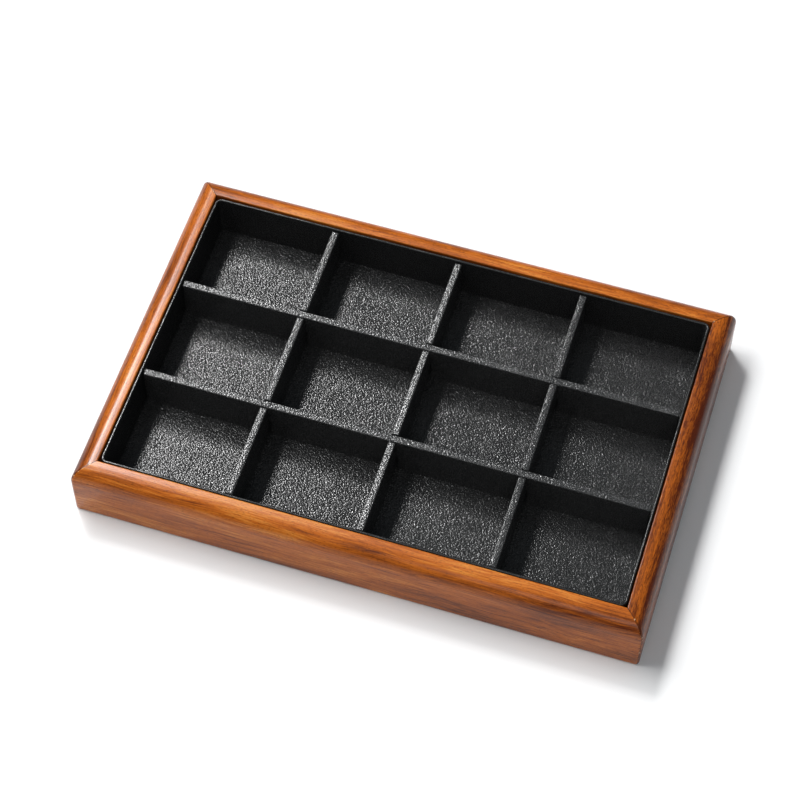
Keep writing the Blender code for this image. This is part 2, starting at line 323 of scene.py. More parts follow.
def stained_mahogany(name, turn, shift, depth, run, glue_line, colours):
    """Mahogany rail, planed, stained orange-brown and sprayed with satin lacquer.

    The eye sees wavy darker figure, fine fibre lines, short stain-filled pores along the board, a thin dark
    line and specks of filler in each mitre, a curve and side darkened as painted shade, and a soft sheen that
    breaks up a little over the pores.
    """
    material, tree, place = start_material(name)
    turned = (0.0, 0.0, math.radians(turn))
    near_end, far_end, side = depth
    # The grain wanders by some 2 mm over every 50 mm, as it lies in a real board
    along = add_node(tree, "ShaderNodeMapping", {"Vector": place, "Location": shift, "Rotation": turned,
        "Scale": (0.050, 0.016, 0.016)}, vector_type="TEXTURE")
    wander = add_node(tree, "ShaderNodeTexNoise", {"Vector": along, "Scale": 1.0, "Detail": 1.0})
    swing = add_node(tree, "ShaderNodeVectorMath", {0: wander.outputs["Color"], 1: (0.5, 0.5, 0.5)},
        operation="SUBTRACT")
    bent = add_node(tree, "ShaderNodeVectorMath", {0: swing, 1: (0.006, 0.006, 0.006), 2: place},
        operation="MULTIPLY_ADD")
    # Length and width of the marks, in metres. Clouds show where the stain took unevenly, and the figure is
    # darker streaks. Fibres are drawn 0.45 mm across, the finest that the render still shows, and their run
    # depends on how the board was sawn. Pores, 0.1 mm across, are drawn 0.36 mm across and 1.3 mm long.
    marks = {}
    for mark, length, width, settings in (
            ("cloud", 0.050, 0.008, {"Detail": 1.0}),
            ("figure", 0.026, 0.0015, {"Detail": 2.0, "Roughness": 0.6, "Distortion": 0.6}),
            ("fibre", run, 0.00045, {"Detail": 2.0, "Roughness": 0.6}),
            ("pore", 0.0013, 0.00036, {"Detail": 1.0})):
        laid = add_node(tree, "ShaderNodeMapping", {"Vector": bent, "Location": shift, "Rotation": turned,
            "Scale": (length, width, width)}, vector_type="TEXTURE")
        marks[mark] = add_node(tree, "ShaderNodeTexNoise", {"Vector": laid, "Scale": 1.0, **settings})
    # Pores are darker on the boards that are darker overall
    pore_depth = 0.30 + 0.25 * (near_end + far_end)
    pores = add_node(tree, "ShaderNodeMapRange", {"Value": marks["pore"], "From Min": 0.52, "From Max": 0.74,
        "To Max": pore_depth}, interpolation_type="SMOOTHSTEP")
    # The tone darkens towards one end of a board. Below the top twenty-fifth of the rail's height the wood is
    # darkened further: painted shade on the curve and the side.
    weights = {"cloud": 1.1, "figure": 1.0, "fibre": 1.2}
    middle = (near_end + far_end - sum(weights.values())) / 2
    rise = (far_end - near_end) / FRAME_LENGTH
    lengthways = add_node(tree, "ShaderNodeVectorMath", {0: place,
        1: (rise * math.cos(turned[2]), rise * math.sin(turned[2]), 0.0)}, operation="DOT_PRODUCT")
    height = add_node(tree, "ShaderNodeSeparateXYZ", {0: place})
    low = add_node(tree, "ShaderNodeMapRange", {"Value": height.outputs[2], "From Min": 0.96 * FRAME_HEIGHT,
        "From Max": FRAME_HEIGHT, "To Min": middle + side, "To Max": middle})
    tone = add_node(tree, "ShaderNodeMath", {0: lengthways.outputs["Value"], 1: low}, operation="ADD")
    for mark, weight in weights.items():
        tone = add_node(tree, "ShaderNodeMath", {0: marks[mark], 1: weight, 2: tone},
            operation="MULTIPLY_ADD")
    # The ramp turns the tone into colour, so it carries the painted shade as well as the stain
    stain = add_node(tree, "ShaderNodeValToRGB", {0: tone})
    stops = stain.color_ramp.elements
    stops.new(0.34)
    tints = (colours.wood_light, colours.wood_mid, colours.wood_dark)
    for stop, at, tint in zip(stops, (0.0, 0.34, 1.0), tints):
        stop.position = at
        stop.color = tint
    pored = add_node(tree, "ShaderNodeMix", {0: pores, 6: stain, 7: colours.wood_pore}, data_type="RGBA")
    # Distance to the mitre: how far a point is further along one rail than across the other
    folded = add_node(tree, "ShaderNodeVectorMath", {0: place}, operation="ABSOLUTE")
    corner = (FRAME_LENGTH / 2, FRAME_WIDTH / 2, 0.0)
    inward = add_node(tree, "ShaderNodeVectorMath", {0: folded, 1: corner}, operation="SUBTRACT")
    axes = add_node(tree, "ShaderNodeSeparateXYZ", {0: inward})
    gap = add_node(tree, "ShaderNodeMath", {0: axes, 1: axes.outputs[1]}, operation="SUBTRACT")
    apart = add_node(tree, "ShaderNodeMath", {0: gap}, operation="ABSOLUTE")
    # The glue line is drawn some three times its width so that it shows
    joint = add_node(tree, "ShaderNodeMapRange", {"Value": apart, "From Min": glue_line,
        "From Max": 4 * glue_line, "To Min": 0.75, "To Max": 0.0})
    jointed = add_node(tree, "ShaderNodeMix", {0: joint, 6: pored.outputs[2], 7: colours.wood_pore},
        data_type="RGBA")
    # Crumbs of filler, about 1 mm apart, lie close to the line
    crumb = add_node(tree, "ShaderNodeTexNoise", {"Vector": place, "Scale": 900.0, "Detail": 1.0})
    crumbs = add_node(tree, "ShaderNodeMapRange", {"Value": crumb, "From Min": 0.64, "From Max": 0.68})
    near = add_node(tree, "ShaderNodeMapRange", {"Value": apart, "From Min": 3 * glue_line,
        "From Max": 6 * glue_line, "To Min": 0.8, "To Max": 0.0})
    filled = add_node(tree, "ShaderNodeMath", {0: crumbs, 1: near}, operation="MULTIPLY")
    finished = add_node(tree, "ShaderNodeMix", {0: filled, 6: jointed.outputs[2], 7: colours.filler},
        data_type="RGBA")
    # Lacquer sinks two hundredths of a millimetre into the pores
    sunk = add_node(tree, "ShaderNodeMath", {0: pores, 1: -1.0, 2: marks["fibre"]}, operation="MULTIPLY_ADD")
    relief = add_node(tree, "ShaderNodeBump", {"Height": sunk, "Strength": 0.5, "Distance": 0.00002})
    satin = add_node(tree, "ShaderNodeMapRange", {"Value": marks["fibre"], "To Min": 0.30, "To Max": 0.46})
    return end_material(material, {"Base Color": finished.outputs[2], "Roughness": satin, "Normal": relief,
        "IOR": 1.5, "Specular IOR Level": 0.05, "Coat Weight": 0.48, "Coat Roughness": 0.22})


def embossed_leather(name, colours, sheen, glaze):
    """Black polyurethane leather on cloth, embossed with a slanting pebble grain.

    The eye sees small slanting pebbles that catch the light one by one, dull grooves between them whose
    darker colour is painted shade, and a smooth bright line where the leather is stretched over the liner's
    rim.
    """
    material, tree, place = start_material(name)
    # Slanting pebbles of 0.43 by 0.8 mm, drawn a quarter coarser so that they show, each one a low dome
    slant = add_node(tree, "ShaderNodeMapping", {"Vector": place, "Rotation": (0.0, 0.0, math.radians(-27)),
        "Scale": (0.00100, 0.00054, 0.00070)}, vector_type="TEXTURE")
    jitter = add_node(tree, "ShaderNodeTexNoise", {"Vector": slant, "Scale": 0.8, "Detail": 1.0})
    nudged = add_node(tree, "ShaderNodeVectorMath", {0: jitter.outputs["Color"], 1: (0.6, 0.6, 0.6),
        2: slant}, operation="MULTIPLY_ADD")
    crease = add_node(tree, "ShaderNodeTexVoronoi", {"Vector": nudged, "Scale": 1.0, "Randomness": 0.9},
        feature="DISTANCE_TO_EDGE")
    crown = add_node(tree, "ShaderNodeMapRange", {"Value": crease.outputs["Distance"], "From Max": 0.10},
        interpolation_type="SMOOTHSTEP")
    pebble = add_node(tree, "ShaderNodeTexVoronoi", {"Vector": nudged, "Scale": 1.0, "Randomness": 0.9})
    dome = add_node(tree, "ShaderNodeMath", {0: pebble.outputs["Distance"], 1: 2.0}, operation="POWER")
    grain = add_node(tree, "ShaderNodeMath", {0: dome, 1: -2.0, 2: crown}, operation="MULTIPLY_ADD")
    # Over the top 0.6 mm of the rim the stretched leather is pressed smooth
    height = add_node(tree, "ShaderNodeSeparateXYZ", {0: place})
    pressed = add_node(tree, "ShaderNodeMapRange", {"Value": height.outputs[2],
        "From Min": WALL_HIGH.z - 0.0006, "From Max": WALL_HIGH.z - 0.0002, "To Min": 1.0, "To Max": 0.0})
    kept = add_node(tree, "ShaderNodeMath", {0: grain, 1: pressed}, operation="MULTIPLY")
    # Handling has polished some spots, about 6 mm apart, more than others
    wear = add_node(tree, "ShaderNodeTexNoise", {"Vector": place, "Scale": 160.0, "Detail": 2.0})
    rubbed = add_node(tree, "ShaderNodeMath", {0: wear, 1: 0.6, 2: 0.7}, operation="MULTIPLY_ADD")
    polish = add_node(tree, "ShaderNodeMath", {0: crown, 1: rubbed}, operation="MULTIPLY")
    gloss = add_node(tree, "ShaderNodeMapRange", {"Value": polish, "To Min": 0.95, "To Max": sheen})
    # The grooves take a darker colour than the crowns: painted shade in the creases
    dye_and_groove_shade = add_node(tree, "ShaderNodeMix", {0: crown, 6: colours.leather_groove_shade, 7: colours.leather},
        data_type="RGBA")
    relief = add_node(tree, "ShaderNodeBump", {"Height": kept, "Distance": 0.00006})
    return end_material(material, {"Base Color": dye_and_groove_shade.outputs[2], "Roughness": gloss, "Normal": relief,
        "IOR": glaze})


def pressed_sheet(name, base, speck, fleck, rough, depth, fuzz):
    """Card, board, fibreboard or felt: pressed fibres.

    The eye sees a matte surface with short darker and paler fibres lying every way, and a pale fuzz on felt.
    """
    material, tree, place = start_material(name)
    mat = add_node(tree, "ShaderNodeMapping", {"Vector": place, "Scale": (fleck, fleck, fleck)},
        vector_type="TEXTURE")
    fibre = add_node(tree, "ShaderNodeTexNoise", {"Vector": mat, "Scale": 1.0, "Detail": 4.0,
        "Roughness": 0.65, "Distortion": 1.2})
    tone = add_node(tree, "ShaderNodeMapRange", {"Value": fibre, "From Min": 0.35, "From Max": 0.70})
    mixed = add_node(tree, "ShaderNodeMix", {0: tone, 6: base, 7: speck}, data_type="RGBA")
    relief = add_node(tree, "ShaderNodeBump", {"Height": fibre, "Strength": 0.5, "Distance": depth})
    return end_material(material, {"Base Color": mixed.outputs[2], "Normal": relief, "Roughness": rough,
        "Sheen Weight": fuzz})


def drawn_steel(name, tint, scuff):
    """Pins of drawn steel wire with stamped heads: the eye sees dull grey metal with turned scratches."""
    material, tree, place = start_material(name)
    # Scratches 0.25 mm apart
    scratch = add_node(tree, "ShaderNodeTexNoise", {"Vector": place, "Scale": 4000.0, "Detail": 2.0})
    dull = add_node(tree, "ShaderNodeMapRange", {"Value": scratch, "To Min": 0.28, "To Max": 0.55})
    shade = add_node(tree, "ShaderNodeMix", {0: scratch, 6: tint, 7: scuff}, data_type="RGBA")
    return end_material(material, {"Base Color": shade.outputs[2], "Roughness": dull, "Metallic": 1.0})


def matte_table(name, tint):
    """White sprayed table top: the eye sees even matte white with the faintest mottle."""
    material, tree, place = start_material(name)
    # Mottle every 33 mm
    mottle = add_node(tree, "ShaderNodeTexNoise", {"Vector": place, "Scale": 30.0, "Detail": 2.0})
    level = add_node(tree, "ShaderNodeMapRange", {"Value": mottle, "To Min": 0.85, "To Max": 0.95})
    return end_material(material, {"Base Color": tint, "Roughness": level, "Specular IOR Level": 0.2})


# Frame

def rail_section(rails):
    """Cross-section of a rail as (outward, up): sole, plain side, long curve, flat, inner side and rebate."""
    arris = rails.inner_arris
    foot = rails.bottom_arris
    reach = RAIL_WIDTH - rails.top_flat
    points = [(rails.rebate, 0.0)]
    points += arc((RAIL_WIDTH - foot, foot), foot, -90, 0, 6)
    points += arc((rails.top_flat, FRAME_HEIGHT - rails.curve_drop), reach, 0, 90, 30, rails.curve_drop)
    points += arc((arris, FRAME_HEIGHT - arris), arris, 90, 180, 6)
    points += [(0.0, PANEL_HIGH.z), (rails.rebate, PANEL_HIGH.z)]
    return points


def rail_tree():
    """Carries a rail's section along it and shapes both ends to their mitres, round the softened corners."""
    tree, given = start_tree("Mitred Rail", {
        "Section": "Object", "Half Length": "Float", "Half Width": "Float", "Top Flat": "Float",
        "Reach": "Float", "Corner Round": "Float", "Glue Line": "Float", "Turn": "Float",
        "Material": "Material"})
    steps = 8
    line = add_node(tree, "GeometryNodeCurvePrimitiveLine", {"Start": (-1, 0, 0), "End": (1, 0, 0)})
    stations = add_node(tree, "GeometryNodeResampleCurve", {"Curve": line, "Count": 2 * steps + 2})
    upright = add_node(tree, "GeometryNodeSetCurveNormal", {"Curve": stations}, mode="Z_UP")
    section = add_node(tree, "GeometryNodeObjectInfo", {"Object": given["Section"]})
    swept = add_node(tree, "GeometryNodeCurveToMesh", {
        "Curve": upright, "Profile Curve": section.outputs["Geometry"], "Fill Caps": True})
    place = add_node(tree, "ShaderNodeSeparateXYZ", {0: add_node(tree, "GeometryNodeInputPosition")})
    along, out, up = place.outputs
    # Each end turns through 45 degrees over its stations, from the straight rail to the mitre
    distance = add_node(tree, "ShaderNodeMath", {0: along}, operation="ABSOLUTE")
    side = add_node(tree, "ShaderNodeMath", {0: along}, operation="SIGN")
    half_step = math.radians(22.5) / steps
    angle = add_node(tree, "ShaderNodeMath", {0: distance, 1: half_step * (2 * steps + 1), 2: -half_step},
        operation="MULTIPLY_ADD")
    # The corner's radius grows over the curve, from nothing at the flat to its full size at the outer side
    beyond = add_node(tree, "ShaderNodeMath", {0: out, 1: given["Top Flat"]}, operation="SUBTRACT")
    share = add_node(tree, "ShaderNodeMath", {0: beyond, 1: given["Reach"]}, operation="DIVIDE",
        use_clamp=True)
    radius = add_node(tree, "ShaderNodeMath", {0: share, 1: given["Corner Round"]}, operation="MULTIPLY")
    inset = add_node(tree, "ShaderNodeMath", {0: out, 1: radius}, operation="SUBTRACT")
    trimmed = add_node(tree, "ShaderNodeMath", {0: given["Glue Line"], 1: -math.sqrt(0.5),
        2: given["Half Length"]}, operation="MULTIPLY_ADD")
    ends = []
    for function, start in (("SINE", trimmed), ("COSINE", given["Half Width"])):
        factor = add_node(tree, "ShaderNodeMath", {0: angle}, operation=function)
        rounded = add_node(tree, "ShaderNodeMath", {0: radius, 1: factor, 2: inset}, operation="MULTIPLY_ADD")
        ends.append(add_node(tree, "ShaderNodeMath", {0: rounded, 1: start}, operation="ADD"))
    new_x = add_node(tree, "ShaderNodeMath", {0: ends[0], 1: side}, operation="MULTIPLY")
    new_y = add_node(tree, "ShaderNodeMath", {0: ends[1], 1: -1.0}, operation="MULTIPLY")
    shaped = add_node(tree, "ShaderNodeCombineXYZ", {0: new_x, 1: new_y, 2: up})
    turned = add_node(tree, "ShaderNodeVectorRotate", {"Vector": shaped, "Angle": given["Turn"]},
        rotation_type="Z_AXIS")
    moved = add_node(tree, "GeometryNodeSetPosition", {"Geometry": swept, "Position": turned})
    merged = add_node(tree, "GeometryNodeMergeByDistance", {"Geometry": moved, "Distance": 1e-6})
    return end_tree(tree, merged, given["Material"])


def pin_tree():
    """Sets panel pins out along a rectangle, all at one pitch."""
    tree, given = start_tree("Panel Pins", {"Pin": "Object", "Length": "Float", "Width": "Float",
        "Pitch": "Float", "Level": "Float", "Material": "Material"})
    border = add_node(tree, "GeometryNodeCurvePrimitiveQuadrilateral", {"Width": given["Length"],
        "Height": given["Width"]})
    points = add_node(tree, "GeometryNodeCurveToPoints", {"Curve": border, "Length": given["Pitch"]},
        mode="LENGTH")
    height = add_node(tree, "ShaderNodeCombineXYZ", {2: given["Level"]})
    lifted = add_node(tree, "GeometryNodeSetPosition", {"Geometry": points, "Offset": height})
    pin = add_node(tree, "GeometryNodeObjectInfo", {"Object": given["Pin"]})
    driven = add_node(tree, "GeometryNodeInstanceOnPoints", {"Points": lifted,
        "Instance": pin.outputs["Geometry"]})
    return end_tree(tree, driven, given["Material"])


def pin_shape(radius, steel):
    """One panel pin, head down: a domed head 0.12 mm high and a 1.4 mm shank, turned about the vertical."""
    shank = 0.45 * radius
    outline = [(0.0, -0.00012), (shank, -0.00011), (0.80 * radius, -0.00007), (radius, 0.0), (shank, 0.00004),
        (shank, 0.0012), (0.0, 0.0014)]
    bm = bmesh.new()
    rings = []
    for across, up in outline:
        rings.append([bm.verts.new((x, y, up)) for x, y in arc((0, 0), across, 30, 360, 11)])
    for low, high in zip(rings, rings[1:]):
        join_rings(bm, low, high)
    return place_bmesh("panel_pin", bm, steel)


class TRAY_OT_rails(bpy.types.Operator):
    """Build the four mitred rails"""
    bl_idname = "display_tray.rails"
    bl_label = "Build Rails"

    def execute(self, context):
        tray = context.scene.display_tray
        rails = tray.rails
        section = draw_section("rail_section", rail_section(rails))
        tree = rail_tree()
        halves = (FRAME_LENGTH / 2 - RAIL_WIDTH, FRAME_WIDTH / 2 - RAIL_WIDTH)
        # Four boards, the front one lightest and the right one darkest; the right board's dark tone is partly
        # painted shade on the side turned away from the key light
        for name, turn, shift, depth, run in (
                ("front", 0, (0.58, 0.07, 0.02), (0.12, 0.38, 0.24), 0.016),
                ("back", 180, (1.77, 0.23, 0.11), (0.30, 0.36, 0.28), 0.010),
                ("right", 90, (2.93, 0.41, 0.17), (0.68, 0.68, 0.22), 0.003),
                ("left", -90, (4.19, 0.59, 0.31), (0.44, 0.44, 0.20), 0.010)):
            along, across = halves if name in ("front", "back") else reversed(halves)
            wood = stained_mahogany(f"stained mahogany, {name} rail", turn, shift, depth, run,
                rails.glue_line, tray.colours)
            rail = grow(f"{name}_rail_moulded", tree, {
                "Section": section, "Half Length": along, "Half Width": across, "Top Flat": rails.top_flat,
                "Reach": RAIL_WIDTH - rails.top_flat, "Corner Round": rails.corner_round,
                "Glue Line": rails.glue_line, "Turn": math.radians(turn), "Material": wood})
            fit(rail, "tray", f"rail_{name}")
        bpy.data.objects.remove(section)
        return {"FINISHED"}


class TRAY_OT_pins(bpy.types.Operator):
    """Drive the pins that hold the base panel in its rebate"""
    bl_idname = "display_tray.pins"
    bl_label = "Drive Panel Pins"

    def execute(self, context):
        tray = context.scene.display_tray
        steel = drawn_steel("drawn steel, panel pins", tray.colours.steel, linear(0x6E6C68))
        pin = pin_shape(tray.rails.pin_head, steel)
        inset = tray.rails.pin_head * 1.3
        pins = grow("panel_pins", pin_tree(), {
            "Pin": pin, "Length": PANEL_HIGH.x - PANEL_LOW.x - 2 * inset,
            "Width": PANEL_HIGH.y - PANEL_LOW.y - 2 * inset, "Pitch": tray.rails.pin_pitch,
            "Level": PANEL_LOW.z, "Material": steel})
        bpy.data.objects.remove(pin)
        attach(pins, "tray")
        return {"FINISHED"}


# Insert

def liner_section(liner):
    """Cross-section of the wall's leather as (inset, up): up the outside, over the rim, down the inside."""
    wall = liner.wall
    top = WALL_HIGH.z
    radius = min(liner.rim_radius, wall / 2)
    inner = max(radius - liner.leather, 0.00005)
    under = top - liner.leather
    turn_end = top - liner.turn_in
    points = [(0.0, turn_end)]
    points += arc((radius, top - radius), radius, 180, 90, 7)
    points += arc((wall - radius, top - radius), radius, 90, 0, 7)
    points += [(wall, (top + FLOOR_HIGH.z) / 2), (wall, WALL_LOW.z), (wall - liner.leather, WALL_LOW.z)]
    points += arc((wall - liner.leather - inner, under - inner), inner, 0, 90, 3)
    points += arc((liner.leather + inner, under - inner), inner, 90, 180, 3)
    points += [(liner.leather, turn_end)]
    return points


def liner_tree():
    """Carries the leather's section round the liner's plan and lets it stray a little, as if laid by hand."""
    tree, given = start_tree("Folded Liner Leather", {
        "Section": "Object", "Length": "Float", "Width": "Float", "Corner Radius": "Float",
        "Unevenness": "Float", "Foot": "Float", "Material": "Material"})
    plan = add_node(tree, "GeometryNodeCurvePrimitiveQuadrilateral", {"Width": given["Length"],
        "Height": given["Width"]})
    last = 9
    rounded = add_node(tree, "GeometryNodeFilletCurve", {
        "Curve": plan, "Count": last, "Radius": given["Corner Radius"]}, mode="POLY")
    # The side that follows each corner's last point is cut into many so that it can stray
    index = add_node(tree, "GeometryNodeInputIndex")
    point = add_node(tree, "ShaderNodeMath", {0: index, 1: last + 1.0}, operation="MODULO")
    is_last = add_node(tree, "ShaderNodeMath", {0: point, 1: float(last), 2: 0.5}, operation="COMPARE")
    cuts = add_node(tree, "ShaderNodeMath", {0: is_last, 1: 60.0}, operation="MULTIPLY")
    divided = add_node(tree, "GeometryNodeSubdivideCurve", {"Curve": rounded, "Cuts": cuts})
    upright = add_node(tree, "GeometryNodeSetCurveNormal", {"Curve": divided}, mode="Z_UP")
    section = add_node(tree, "GeometryNodeObjectInfo", {"Object": given["Section"]})
    swept = add_node(tree, "GeometryNodeCurveToMesh", {"Curve": upright,
        "Profile Curve": section.outputs["Geometry"]})
    place = add_node(tree, "GeometryNodeInputPosition")
    # The leather strays over every 12 mm or so, most at the rim and not at all where it stands on the card
    stray = add_node(tree, "ShaderNodeTexNoise", {"Vector": place, "Scale": 85.0, "Detail": 1.0})
    centred = add_node(tree, "ShaderNodeVectorMath", {0: stray.outputs["Color"], 1: (0.5, 0.5, 0.5)},
        operation="SUBTRACT")
    height = add_node(tree, "ShaderNodeSeparateXYZ", {0: place})
    rise = add_node(tree, "ShaderNodeMapRange", {"Value": height.outputs[2], "From Min": given["Foot"],
        "From Max": WALL_HIGH.z, "To Max": 2.0})
    reach = add_node(tree, "ShaderNodeMath", {0: rise, 1: given["Unevenness"]}, operation="MULTIPLY")
    offset = add_node(tree, "ShaderNodeVectorMath", {0: centred, "Scale": reach}, operation="SCALE")
    laid = add_node(tree, "GeometryNodeSetPosition", {"Geometry": swept, "Offset": offset})
    return end_tree(tree, laid, given["Material"])


class TRAY_OT_liner(bpy.types.Operator):
    """Fold the leather over the liner's wall"""
    bl_idname = "display_tray.liner"
    bl_label = "Fold Liner Leather"

    def execute(self, context):
        tray = context.scene.display_tray
        liner = tray.liner
        section = draw_section("liner_section", liner_section(liner))
        leather = embossed_leather("embossed leather, liner wall", tray.colours, sheen=0.18, glaze=1.56)
        folded = grow("liner_wall_leather", liner_tree(), {
            "Section": section, "Length": 2 * WALL_HIGH.x, "Width": 2 * WALL_HIGH.y, "Foot": WALL_LOW.z,
            "Corner Radius": liner.corner, "Unevenness": liner.unevenness, "Material": leather})
        bpy.data.objects.remove(section)
        fit(folded, "insert", "wall_leather")
        return {"FINISHED"}


def sag(x, y, deepest):
    """How far the floor's leather lies below its glued spots at a place.

    It is glued within 2 mm of a divider, free from 8 mm away, and changes over every 14 mm or so.
    """
    drift = noise.noise(Vector((x * 70, y * 70, 0.4))) * 0.5 + 0.5
    columns = min(abs(x - column) for column in COLUMNS + [FLOOR_LOW.x, FLOOR_HIGH.x])
    rows = min(abs(y - row) for row in ROWS + [FLOOR_LOW.y, FLOOR_HIGH.y])
    clear = min(max((min(columns, rows) - 0.002) / 0.006, 0.0), 1.0)
    return deepest * drift * clear * clear * (3 - 2 * clear)


class TRAY_OT_floor(bpy.types.Operator):
    """Lay the leather on the compartments' floor"""
    bl_idname = "display_tray.floor"
    bl_label = "Lay Floor Leather"

    def execute(self, context):
        tray = context.scene.display_tray
        half_x = (FLOOR_HIGH.x - FLOOR_LOW.x) / 2
        half_y = (FLOOR_HIGH.y - FLOOR_LOW.y) / 2
        radius = tray.liner.corner - tray.liner.wall
        outline = []
        for quarter, (side_x, side_y) in enumerate(((1, 1), (-1, 1), (-1, -1), (1, -1))):
            centre = (side_x * (half_x - radius), side_y * (half_y - radius))
            outline += arc(centre, radius, 90 * quarter, 90 * quarter + 90, 8)
        bm = bmesh.new()
        lower = [bm.verts.new((x, y, FLOOR_LOW.z)) for x, y in outline]
        upper = [bm.verts.new((x, y, FLOOR_HIGH.z)) for x, y in outline]
        bm.faces.new(lower)
        bm.faces.new(upper)
        join_rings(bm, lower, upper)
        slice_across(bm, 0, -half_x, half_x, tray.liner.floor_pitch)
        slice_across(bm, 1, -half_y, half_y, tray.liner.floor_pitch)
        for vert in bm.verts:
            if vert.co.z > (FLOOR_LOW.z + FLOOR_HIGH.z) / 2:
                vert.co.z -= sag(vert.co.x, vert.co.y, tray.liner.floor_sag)
        leather = embossed_leather("embossed leather, floor", tray.colours, sheen=0.17, glaze=1.66)
        fit(place_bmesh("floor_leather_laid", bm, leather), "insert", "floor_leather")
        return {"FINISHED"}


def add_ring(bm, near, far, half, radius, level):
    """A divider's plan at one level: its right end's points, front to back, and its left's, back to front."""
    steps = 6
    right = arc((far - radius, radius - half), radius, -90, 0, steps)
    right += arc((far - radius, half - radius), radius, 0, 90, steps)
    left = arc((near + radius, half - radius), radius, 90, 180, steps)
    left += arc((near + radius, radius - half), radius, 180, 270, steps)
    return [[bm.verts.new((x, y, level)) for x, y in end] for end in (right, left)]


def join_rings(bm, low, high):
    """Side faces between two rings of as many points."""
    for corners in zip(low, low[1:] + low[:1], high[1:] + high[:1], high):
        bm.faces.new(corners)


def join_stretches(bm, whole, stretches):
    """Side faces between the whole length's ring and the stretches between its slots, and the slots' ends."""
    right, left = whole
    for plain, cut in ((right, stretches[-1][0]), (left, stretches[0][1])):
        for corners in zip(plain, plain[1:], cut[1:], cut):
            bm.faces.new(corners)
    back = []
    front = []
    for right_end, left_end in stretches:
        back += [left_end[0], right_end[-1]]
        front += [left_end[-1], right_end[0]]
    bm.faces.new([right[-1], left[0]] + back)
    bm.faces.new([right[0], left[-1]] + front)
    for before, after in zip(stretches, stretches[1:]):
        bm.faces.new(before[0] + after[1])


def round_over(bm, ring, near, far, half, radius, top):
    """Carries a ring up to a rounded top edge, over it, and closes it."""
    steps = 6
    for step in range(steps + 1):
        angle = math.radians(90) * step / steps
        inset = radius * (1 - math.cos(angle))
        level = top - radius * (1 - math.sin(angle))
        above = add_ring(bm, near + inset, far - inset, half - inset, radius - inset, level)
        join_rings(bm, ring[0] + ring[1], above[0] + above[1])
        ring = above
    bm.faces.new(ring[0] + ring[1])


def divider_solid(dividers, inset, end, slots, open_top, bottom):
    """A divider's solid, set in by a thickness all round but not at its foot, with its half-lap slots."""
    half = DIVIDER_THICKNESS / 2 - inset
    end -= inset
    top = DIVIDER_TOP - inset
    radius = max(min(dividers.edge_radius, DIVIDER_THICKNESS / 2 - dividers.glue) - inset, dividers.glue)
    slot_half = DIVIDER_THICKNESS / 2 + dividers.lap_clearance + inset
    edges = [-end] + [slot + side * slot_half for slot in slots for side in (-1, 1)] + [end]
    spans = list(zip(edges[0::2], edges[1::2]))
    bm = bmesh.new()
    if open_top:
        level = LAP_LEVEL - dividers.lap_clearance / 2 - inset
        whole = add_ring(bm, -end, end, half, radius, bottom)
        bm.faces.new(whole[0] + whole[1])
        stretches = [add_ring(bm, near, far, half, radius, level) for near, far in spans]
        join_stretches(bm, whole, stretches)
        for ring, (near, far) in zip(stretches, spans):
            round_over(bm, ring, near, far, half, radius, top)
    else:
        level = LAP_LEVEL + dividers.lap_clearance / 2 + inset
        stretches = []
        for near, far in spans:
            foot = add_ring(bm, near, far, half, radius, bottom)
            head = add_ring(bm, near, far, half, radius, level)
            bm.faces.new(foot[0] + foot[1])
            join_rings(bm, foot[0] + foot[1], head[0] + head[1])
            stretches.append(head)
        whole = add_ring(bm, -end, end, half, radius, (level + top) / 2)
        join_stretches(bm, whole, stretches)
        round_over(bm, whole, -end, end, half, radius, top)
    return bm


def hollow_wrap(dividers, end, slots, open_top, leather):
    """The leather of one divider with the room for its board cut out, as a bmesh along X."""
    solids = []
    for name, inset, bottom in (("wrap", 0.0, FLOOR_HIGH.z), ("room", dividers.leather, FLOOR_LOW.z)):
        solid = divider_solid(dividers, inset, end, slots, open_top, bottom)
        solids.append(place_bmesh(name, solid, leather))
    wrap, room = solids
    cut = wrap.modifiers.new("room", "BOOLEAN")
    cut.operation = "DIFFERENCE"
    cut.solver = "EXACT"
    cut.object = room
    mesh = evaluated_mesh(wrap)
    bm = bmesh.new()
    bm.from_mesh(mesh)
    for solid in solids:
        bpy.data.objects.remove(solid)
    bpy.data.meshes.remove(mesh)
    return bm


def wrap_by_hand(bm, dividers, seed, lean):
    """Lets a wrap's outer faces bulge a little and its top ride up and down and lean, but not its foot.

    A face swells over every 13 mm along and 17 mm up, and the top dips over every 18 mm.
    """
    rise = DIVIDER_TOP - FLOOR_HIGH.z
    half = DIVIDER_THICKNESS / 2
    for vert in bm.verts:
        x, y, z = vert.co
        # Only the leather's outer face moves
        if abs(y) < half - 0.75 * dividers.leather and z < DIVIDER_TOP - 0.75 * dividers.leather:
            continue
        lift = max((z - FLOOR_HIGH.z) / rise, 0.0)
        swell = noise.noise(Vector((x * 75, z * 60, seed + (3.7 if y > 0 else 0.0)))) * 0.5 + 0.5
        dip = noise.noise(Vector((x * 55, seed * 1.9, 0.3))) * 0.5 + 0.5
        vert.co.y += math.copysign(dividers.unevenness * swell * lift, y)
        vert.co.z -= (dividers.unevenness * dip + abs(lean) * half + lean * y) * lift ** 6


